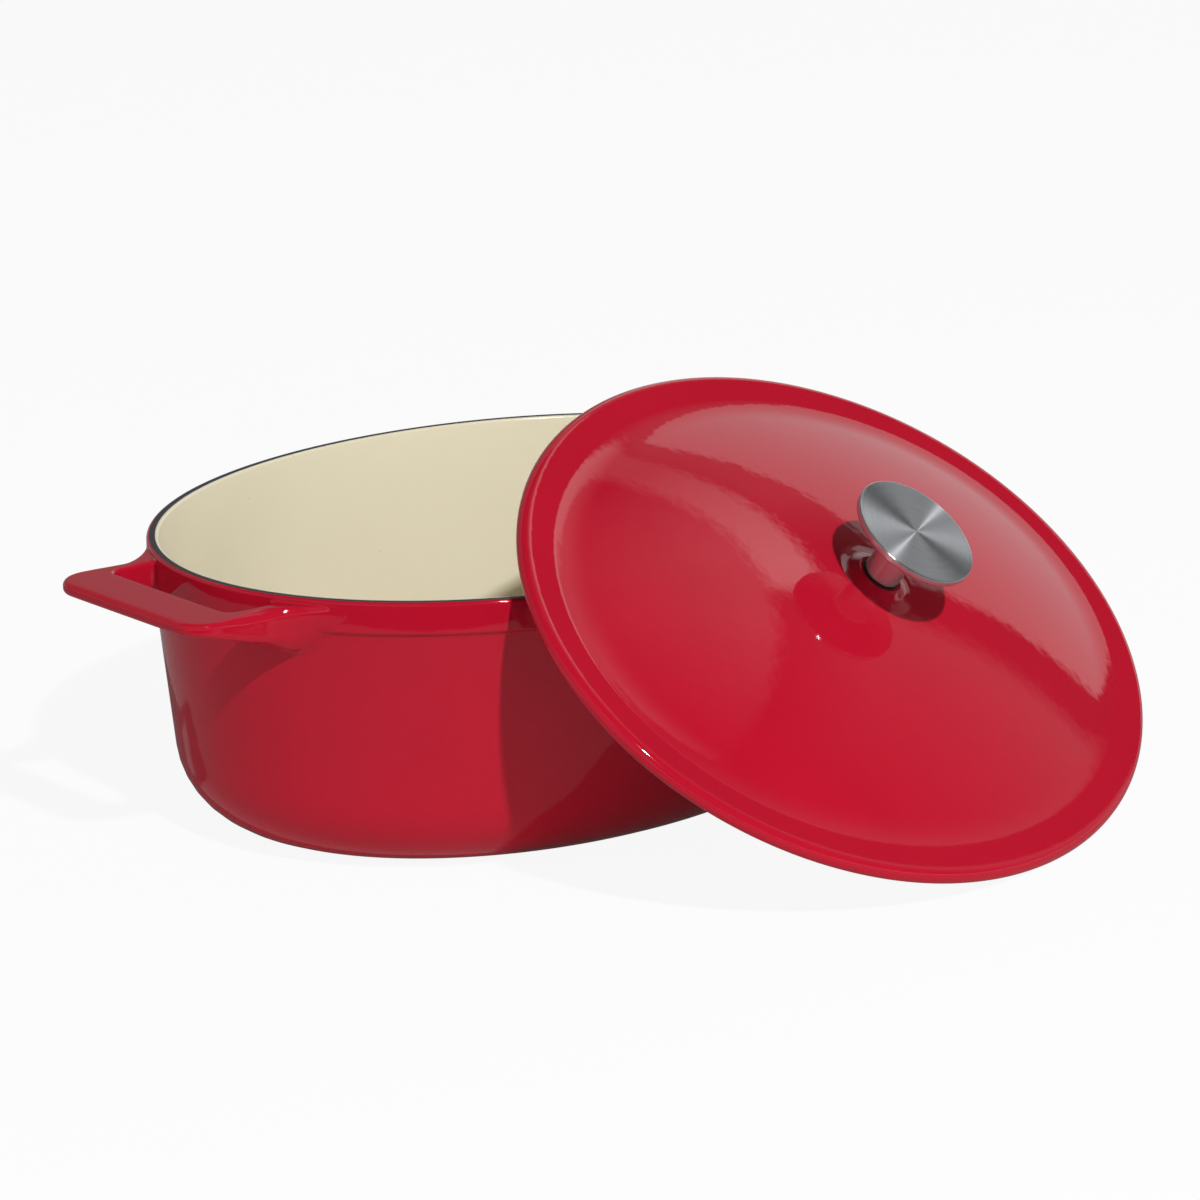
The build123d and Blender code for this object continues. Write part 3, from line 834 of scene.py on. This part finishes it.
class OVEN_OT_knob(bpy.types.Operator):
    """Turned steel knob and the seal below it"""

    bl_idname = "dutch_oven.knob"
    bl_label = "Knob"

    def execute(self, context):
        knob = context.scene.oven_knob
        lid = context.scene.oven_lid
        foot = lid_heights()[2] + lid.boss_high + knob.seal
        top = foot + knob.high
        under = top - knob.edge
        section = rounded([
            (0, top, 0),
            (knob.radius, top, knob.top_edge),
            (knob.radius, under, knob.low_edge),
            (knob.stem, under - knob.cone, knob.throat),
            (knob.stem, foot, knob.foot_edge),
            (knob.hole, foot, knob.hole_edge),
            (knob.hole, foot + knob.hole_deep, 0),
            (0, foot + knob.hole_deep, 0)], step=0.8 * MM)
        turn = np.linspace(0, 2 * pi, KNOB_TURNS, endpoint=False)
        reach, height = np.array([tuple(p) for p in section]).T
        rings = np.stack([
            np.outer(reach, np.cos(turn)),
            np.outer(reach, np.sin(turn)),
            np.repeat(height[:, None], len(turn), 1)], 2)
        made = piece("knob_turned", "knob", leaning(rings), turned_stainless_steel(),
                     with_uv=True)
        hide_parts("knob")
        seal = frame["nodes"]["knob_gasket"]
        seal.data.materials.clear()
        seal.data.materials.append(moulded_silicone())
        return {"FINISHED"}


class OVEN_OT_fastener(bpy.types.Operator):
    """Screw, flat washer and spring washer below the lid"""

    bl_idname = "dutch_oven.fastener"
    bl_label = "Fastener"

    def execute(self, context):
        zinc = zinc_plated_steel()
        for name in ("knob_screw", "knob_washer", "knob_spring_washer"):
            node = frame["nodes"][name]
            node.data.materials.clear()
            node.data.materials.append(zinc)
        return {"FINISHED"}


class Studio(bpy.types.PropertyGroup):
    """Camera, lamps and floor. Places are right, away and up from the pot's middle."""

    turn: angle("Turn", "Turn of the camera round the pot", 41.694)
    pitch: angle("Pitch", "How far the camera looks down", 16.727)
    roll: angle("Roll", "Lean of the camera", -0.397)
    place: position("Camera", "Where the camera stands", (0.02953, -1.66955, 0.56808))
    lens: FloatProperty(
        name="Lens", description="Focal length in millimetres on a 36 mm sensor", default=140.16)
    key: FloatProperty(name="Key lamp", description="Power of the main lamp", default=73, unit="POWER")
    key_place: position("Key place", "Where the main lamp hangs", (0.947, -2.013, 2.087))
    key_aim: position("Key aim", "What the main lamp points at", (0.03, 0.0, 0.06))
    key_size: length("Key size", "Side of the main lamp", 100 * MM)
    panel: FloatProperty(
        name="Panel", description="Power of the bright panel behind the pot", default=39, unit="POWER")
    panel_place: position("Panel place", "Where the panel stands", (2.296, 5.211, 1.952))
    panel_aim: position("Panel aim", "What the panel points at", (0.116, -0.053, 0.0725))
    panel_wide: length("Panel width", "Side to side", 4970 * MM)
    panel_high: length("Panel height", "Top to bottom", 3270 * MM)
    fill: FloatProperty(name="Fill", description="Strength of the even light from the backdrop", default=1.0)
    floor_size: length("Floor size", "How far the floor runs to the sides and behind", 6000 * MM)
    floor_front: length("Floor front", "How far the floor runs in front", 410 * MM)


def pale_studio_floor():
    """Matte white paint on the studio's floor.

    The camera sees it burnt out to white below the pot's soft shadow. Reflections see its colour painted
    darker, to about a third: a painted shade that only reflections show.
    """
    material, tree = empty_material("pale_studio_floor")
    pale = bpy.context.scene.oven_finishes.floor
    rays = add(tree, "ShaderNodeLightPath", {}).outputs
    mirrored = add(tree, "ShaderNodeMath", {
        0: rays["Is Glossy Ray"], 1: rays["Is Transmission Ray"]}, operation="MAXIMUM").outputs[0]
    faint = add(tree, "ShaderNodeMath", {0: mirrored, 1: 0.05}, operation="MULTIPLY")
    burnt = add(tree, "ShaderNodeMath", {
        0: rays["Is Camera Ray"], 1: 0.92, 2: faint.outputs[0]}, operation="MULTIPLY_ADD")
    # Painted shade: reflections see the paint at 0.36 of its colour, other rays see it in full
    tint_with_reflected_shade = add(tree, "ShaderNodeMix", {
        0: mirrored, 6: toned(pale), 7: toned(pale, 0.36)}, data_type="RGBA")
    paint = add(tree, "ShaderNodeBsdfDiffuse", {"Color": tint_with_reflected_shade.outputs[2]})
    white = add(tree, "ShaderNodeEmission", {"Color": (1, 1, 1, 1), "Strength": 1})
    both = add(tree, "ShaderNodeMixShader", {0: burnt.outputs[0], 1: paint.outputs[0], 2: white.outputs[0]})
    add(tree, "ShaderNodeOutputMaterial", {"Surface": both.outputs[0]})
    return material


def studio_floor(to_frame):
    """Floor that ends just outside the picture, so that the collar reflects a darker room."""
    studio = bpy.context.scene.oven_studio
    size, front = studio.floor_size, -studio.floor_front
    corners = ((-size, front, 0), (size, front, 0), (size, size, 0), (-size, size, 0))
    mesh = bpy.data.meshes.new("floor")
    mesh.from_pydata([to_frame @ Vector(corner) for corner in corners], [], [(0, 1, 2, 3)])
    mesh.materials.append(pale_studio_floor())
    floor = bpy.data.objects.new("floor", mesh)
    floor.location.z = -2 * HAIR
    bpy.context.scene.collection.objects.link(floor)
    return floor


# What reflections see round the studio. A zone's level is the product of its ramps. A ramp goes from
# one level to another between two values of a measure of the direction. Heights are sines of the
# elevation, and turns are degrees to the right of straight behind the pot.
REFLECTED = {
    "room": (  # dim, darker high up and at the right
        ("height", 0.6, 0.7, 0.22, 0.04),
        ("height", -0.05, -0.01, 0.1, 1),
        ("turn", 30, 42, 1, 0.2)),
    "wall": (  # grey, far at the right
        ("turn", 50, 54, 0, 0.34),
        ("turn", 56, 92, 1, 0),
        ("height", 0.57, 0.7, 1, 0.25)),
    "strip": (  # narrow and bright, above the panel
        ("height", 0.616, 0.643, 0, 1),
        ("height", 0.695, 0.731, 1, 0),
        ("turn", 20, 45, 0.35, 1.5),
        ("turn", 50, 54, 1, 0)),
    "cloth": (  # softer, above the strip
        ("height", 0.695, 0.719, 0, 1),
        ("height", 0.743, 0.906, 0.57, 0.15),
        ("turn", 18, 42, 0, 1),
        ("turn", 60, 92, 1, 0)),
    "panel": (  # pale, with an upper edge that slopes
        ("lean", 0.625, 0.643, 0.77, 0),
        ("height", 0.05, 0.07, 0, 1),
        ("turn", 0, 2, 0, 1),
        ("turn", 44, 45.5, 1, 0)),
    "horizon": (  # white, behind the floor
        ("height", -0.04, -0.01, 0, 1),
        ("height", 0.03, 0.06, 1, 0)),
}
# What lights the matte surfaces: bright near the horizon, a little more so in front
BACKDROP = (
    ("behind", -1, 1, 1, 0.9),
    ("height", 0, 0.6, 1, 0.1),
    ("height", -0.05, -0.01, 0.1, 1))
PANEL_SLOPE = radians(0.19)  # fall of the panel's upper edge per degree of turn


def studio_world(to_frame):
    """World that is white to the camera, an even backdrop to matte surfaces and a room to reflections."""
    world = bpy.data.worlds.new("studio")
    bpy.context.scene.world = world
    world.use_nodes = True
    tree = world.node_tree
    tree.nodes.clear()
    rays = add(tree, "ShaderNodeLightPath", {}).outputs
    direction = add(tree, "ShaderNodeTexCoord", {}).outputs["Generated"]
    measures = {"height": add(tree, "ShaderNodeSeparateXYZ", {"Vector": direction}).outputs["Z"]}
    for name, way in (("behind", (0, 1, 0)), ("beside", (1, 0, 0))):
        measures[name] = add(tree, "ShaderNodeVectorMath", {
            0: direction, 1: to_frame @ Vector(way)}, operation="DOT_PRODUCT").outputs["Value"]
    around = add(tree, "ShaderNodeMath", {
        0: measures["beside"], 1: measures["behind"]}, operation="ARCTAN2")
    measures["turn"] = add(tree, "ShaderNodeMath", {0: around.outputs[0]}, operation="DEGREES").outputs[0]
    measures["lean"] = add(tree, "ShaderNodeMath", {
        0: measures["turn"], 1: PANEL_SLOPE, 2: measures["height"]}, operation="MULTIPLY_ADD").outputs[0]

    levels = []
    for ramps in (BACKDROP, *REFLECTED.values()):
        level = 1.0
        for measure, low, high, first, last in ramps:
            ramp = add(tree, "ShaderNodeMapRange", {
                "Value": measures[measure],
                "From Min": low, "From Max": high, "To Min": first, "To Max": last})
            level = add(tree, "ShaderNodeMath", {
                0: level, 1: ramp.outputs[0]}, operation="MULTIPLY").outputs[0]
        levels.append(level)
    lit = add(tree, "ShaderNodeMath", {
        0: levels[0], 1: bpy.context.scene.oven_studio.fill}, operation="MULTIPLY").outputs[0]
    shown = levels[1]
    for level in levels[2:]:
        shown = add(tree, "ShaderNodeMath", {0: shown, 1: level}, operation="MAXIMUM").outputs[0]
    mirrored = add(tree, "ShaderNodeMath", {
        0: rays["Is Glossy Ray"], 1: rays["Is Transmission Ray"]}, operation="MAXIMUM").outputs[0]
    unseen = add(tree, "ShaderNodeMix", {0: mirrored, 2: lit, 3: shown}).outputs[0]
    strength = add(tree, "ShaderNodeMix", {0: rays["Is Camera Ray"], 2: unseen, 3: 1.0}).outputs[0]
    air = add(tree, "ShaderNodeBackground", {"Color": (1, 1, 1, 1), "Strength": strength})
    add(tree, "ShaderNodeOutputWorld", {"Surface": air.outputs[0]})


def studio_lamp(name, to_frame, place, aim, wide, high, power):
    """Rectangular lamp that the camera doesn't see."""
    lamp = bpy.data.lights.new(name, "AREA")
    lamp.shape = "RECTANGLE"
    lamp.size = wide
    lamp.size_y = high
    lamp.energy = power
    holder = bpy.data.objects.new(name, lamp)
    bpy.context.scene.collection.objects.link(holder)
    holder.location = to_frame @ Vector(place)
    look = to_frame @ Vector(aim) - holder.location
    holder.rotation_euler = look.to_track_quat("-Z", "Y").to_euler()
    holder.visible_camera = False
    return holder


def studio_camera(to_frame):
    """Camera that stands and leans as the photograph's camera did."""
    studio = bpy.context.scene.oven_studio
    lens = bpy.data.cameras.new("camera")
    lens.lens = studio.lens
    lens.sensor_width = 36
    lens.clip_start = 50 * MM
    lens.clip_end = 50000 * MM
    camera = bpy.data.objects.new("camera", lens)
    bpy.context.scene.collection.objects.link(camera)
    tilt = Matrix.Rotation(pi / 2 - studio.pitch, 4, "X") @ Matrix.Rotation(studio.roll, 4, "Z")
    camera.matrix_world = to_frame @ Matrix.Translation(studio.place) @ tilt
    bpy.context.scene.camera = camera


class OVEN_OT_stage(bpy.types.Operator):
    """Pale floor, soft lamps and a camera at the photograph's angle"""

    bl_idname = "dutch_oven.stage"
    bl_label = "Stage"

    def execute(self, context):
        studio = context.scene.oven_studio
        to_frame = Matrix.Rotation(-studio.turn, 4, "Z")
        floor = studio_floor(to_frame)
        studio_world(to_frame)
        studio_lamp("key", to_frame, studio.key_place, studio.key_aim,
                    studio.key_size, studio.key_size, studio.key)
        panel = studio_lamp("panel", to_frame, studio.panel_place, studio.panel_aim,
                            studio.panel_wide, studio.panel_high, studio.panel)
        # Reflections see the panel that the world draws
        panel.visible_glossy = False
        studio_camera(to_frame)
        context.scene.view_settings.view_transform = "Standard"
        return {"FINISHED"}


class OVEN_PT_sidebar(bpy.types.Panel):
    """Sizes, colours and the steps that build the dutch oven"""

    bl_idname = "OVEN_PT_sidebar"
    bl_label = "Dutch oven"
    bl_space_type = "VIEW_3D"
    bl_region_type = "UI"
    bl_category = "Dutch oven"

    def draw(self, context):
        layout = self.layout
        for operator in STEPS:
            layout.operator(operator.bl_idname)
        for name, group in GROUPS.items():
            box = layout.box()
            box.label(text=group.__doc__)
            for field in group.__annotations__:
                box.prop(getattr(context.scene, name), field)


STEPS = (
    OVEN_OT_pot,
    OVEN_OT_pot_coats,
    OVEN_OT_lid,
    OVEN_OT_lid_coats,
    OVEN_OT_knob,
    OVEN_OT_fastener,
    OVEN_OT_stage,
)
GROUPS = {
    "oven_pot": PotSizes,
    "oven_handle": HandleSizes,
    "oven_lid": LidSizes,
    "oven_knob": KnobSizes,
    "oven_finishes": Finishes,
    "oven_studio": Studio,
}


def register():
    """Adds the property groups, the operators and the panel."""
    for name, group in GROUPS.items():
        bpy.utils.register_class(group)
        setattr(bpy.types.Scene, name, PointerProperty(type=group))
    for operator in STEPS:
        bpy.utils.register_class(operator)
    bpy.utils.register_class(OVEN_PT_sidebar)


def unregister():
    """Takes them away again."""
    bpy.utils.unregister_class(OVEN_PT_sidebar)
    for operator in reversed(STEPS):
        bpy.utils.unregister_class(operator)
    for name, group in reversed(GROUPS.items()):
        delattr(bpy.types.Scene, name)
        bpy.utils.unregister_class(group)


def main():
    """Builds every piece and the stage."""
    register()
    bpy.ops.dutch_oven.pot()
    bpy.ops.dutch_oven.pot_coats()
    bpy.ops.dutch_oven.lid()
    bpy.ops.dutch_oven.lid_coats()
    bpy.ops.dutch_oven.knob()
    bpy.ops.dutch_oven.fastener()
    bpy.ops.dutch_oven.stage()


if __name__ == "__main__":
    main()
